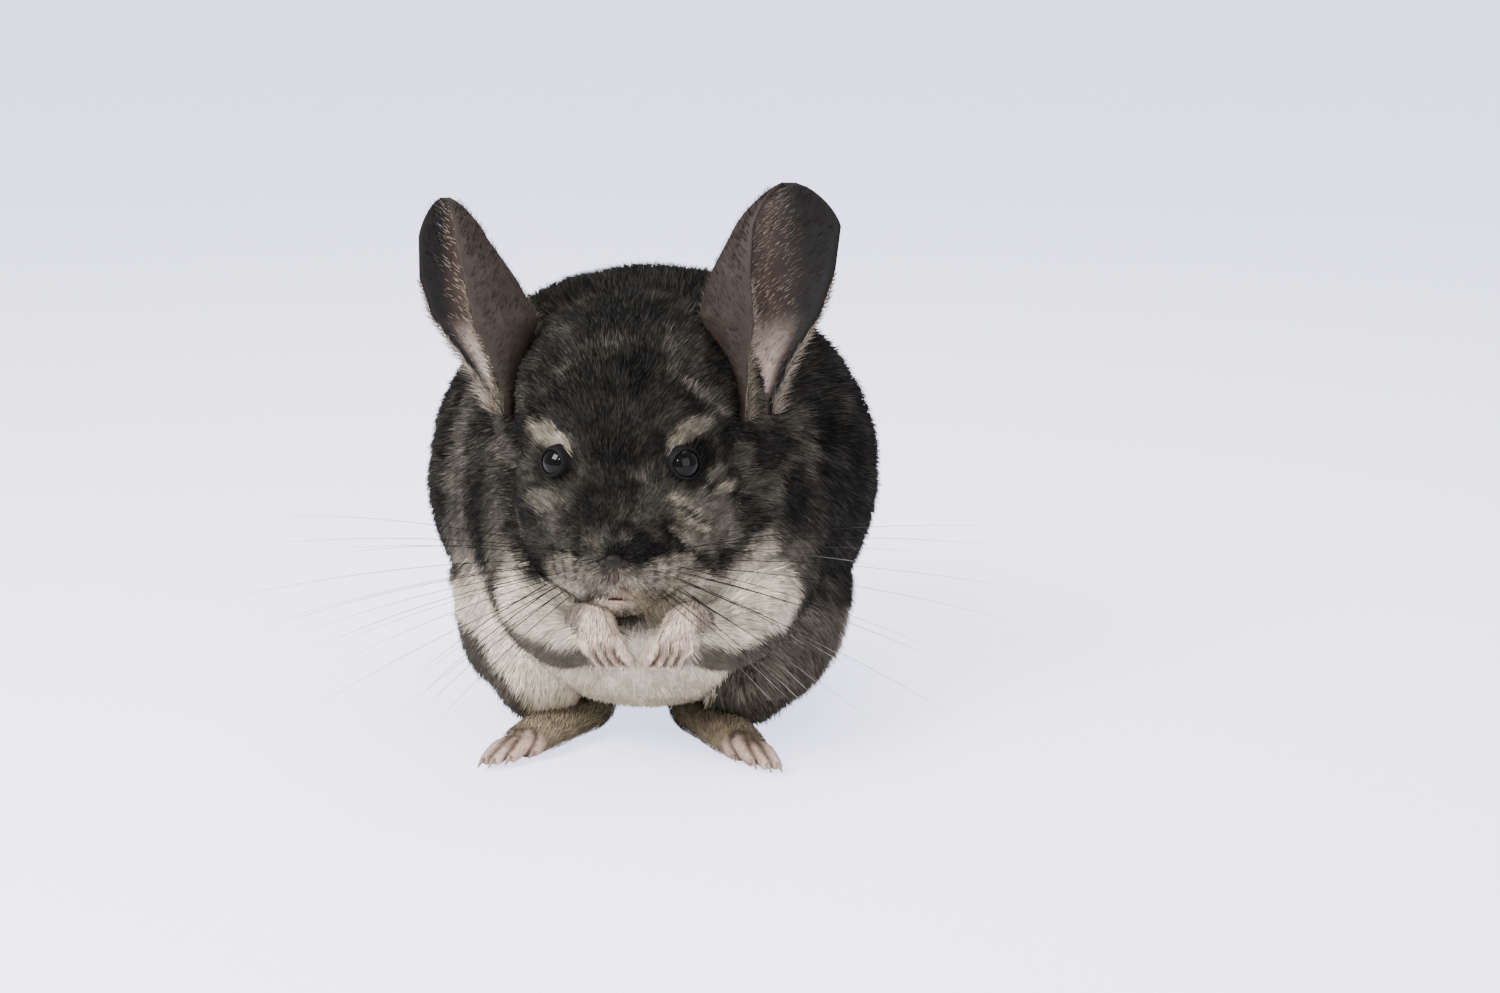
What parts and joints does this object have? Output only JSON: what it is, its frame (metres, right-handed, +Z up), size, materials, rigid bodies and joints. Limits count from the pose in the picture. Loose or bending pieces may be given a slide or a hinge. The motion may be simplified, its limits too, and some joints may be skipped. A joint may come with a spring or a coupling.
{
  "type": "chinchilla",
  "caption": "Life-size standard grey chinchilla sitting hunched on its hind feet, forepaws held to the mouth, large cupped ears up and bushy tail laid on the floor behind",
  "frame": {"origin": "on the floor, under the middle of the part's outline from above", "axes": "+Z up, the animal faces -Y with its tail towards +Y, and its left side is at +X"},
  "size_m": [0.2246, 0.292, 0.1638],
  "materials": {
    "coat_back": "dense soft fur, dark grey tips over a pale band and a slate base",
    "coat_face": "short soft fur, grey ticked with cream and near black on the bridge of the nose",
    "coat_belly": "dense soft cream fur",
    "coat_tail": "long coarse dark grey hair with pale sides",
    "ear_skin": "thin bare brown skin with fine pale hairs, matte",
    "paw_skin": "very short cream fur over pink skin",
    "eye": "wet glossy near black"
  },
  "bodies": {
    "root": {"torso": "coat_back", "neck": "coat_back", "head": "coat_face", "eye_left": "eye", "eye_right": "eye", "ear_left": "ear_skin", "ear_right": "ear_skin", "foreleg_left": "coat_belly", "foreleg_right": "coat_belly", "forepaw_left": "paw_skin", "forepaw_right": "paw_skin", "thigh_left": "coat_back", "thigh_right": "coat_back", "hindfoot_left": "paw_skin", "hindfoot_right": "paw_skin", "tail": "coat_tail", "tail_tip": "coat_tail"}
  },
  "joints": []
}
